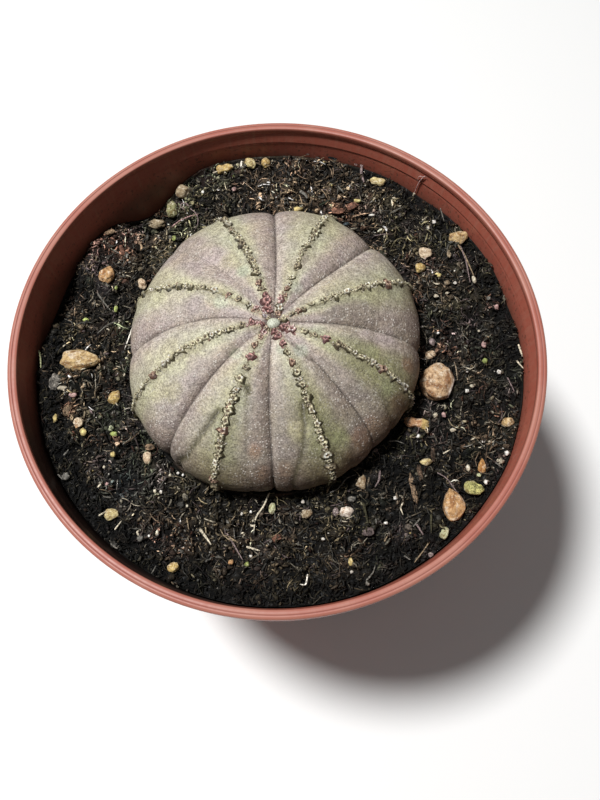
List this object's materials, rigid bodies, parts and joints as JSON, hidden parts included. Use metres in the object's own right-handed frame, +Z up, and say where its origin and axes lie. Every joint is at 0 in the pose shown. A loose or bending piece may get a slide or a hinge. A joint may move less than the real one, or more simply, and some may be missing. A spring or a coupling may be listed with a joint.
{
  "type": "potted baseball plant",
  "caption": "Spineless, ribbed, ball-shaped succulent half sunk in dark potting soil with loose gravel, in a round tapered plastic nursery pot with a rolled lip and a rim band.",
  "frame": {"origin": "centre of the pot's foot, on the surface that it stands on", "axes": "+Z up, through the middle of the pot; the picture was taken from the -Y side"},
  "size_m": [0.105, 0.105, 0.099],
  "materials": {
    "terracotta_plastic": "satin moulded plastic, terracotta coloured",
    "peat": "crumbly dark moist peat",
    "plant_skin": "matt waxy skin, grey-green with mauve bands",
    "pumice": "rough porous tan pumice"
  },
  "bodies": {
    "root": {"pot": "terracotta_plastic", "potting_soil": "peat", "baseball_plant": "plant_skin", "gravel_01": "pumice", "gravel_02": "pumice", "gravel_03": "pumice", "gravel_04": "pumice", "gravel_05": "pumice", "gravel_06": "pumice", "gravel_07": "pumice", "gravel_08": "pumice", "gravel_09": "pumice", "gravel_10": "pumice", "gravel_11": "pumice", "gravel_12": "pumice", "gravel_13": "pumice", "gravel_14": "pumice", "gravel_15": "pumice", "gravel_16": "pumice", "gravel_17": "pumice", "gravel_18": "pumice", "gravel_19": "pumice", "gravel_20": "pumice", "gravel_21": "pumice", "gravel_22": "pumice", "gravel_23": "pumice", "gravel_24": "pumice", "gravel_25": "pumice", "gravel_26": "pumice", "gravel_27": "pumice", "gravel_28": "pumice", "gravel_29": "pumice", "gravel_30": "pumice", "gravel_31": "pumice"}
  },
  "joints": []
}
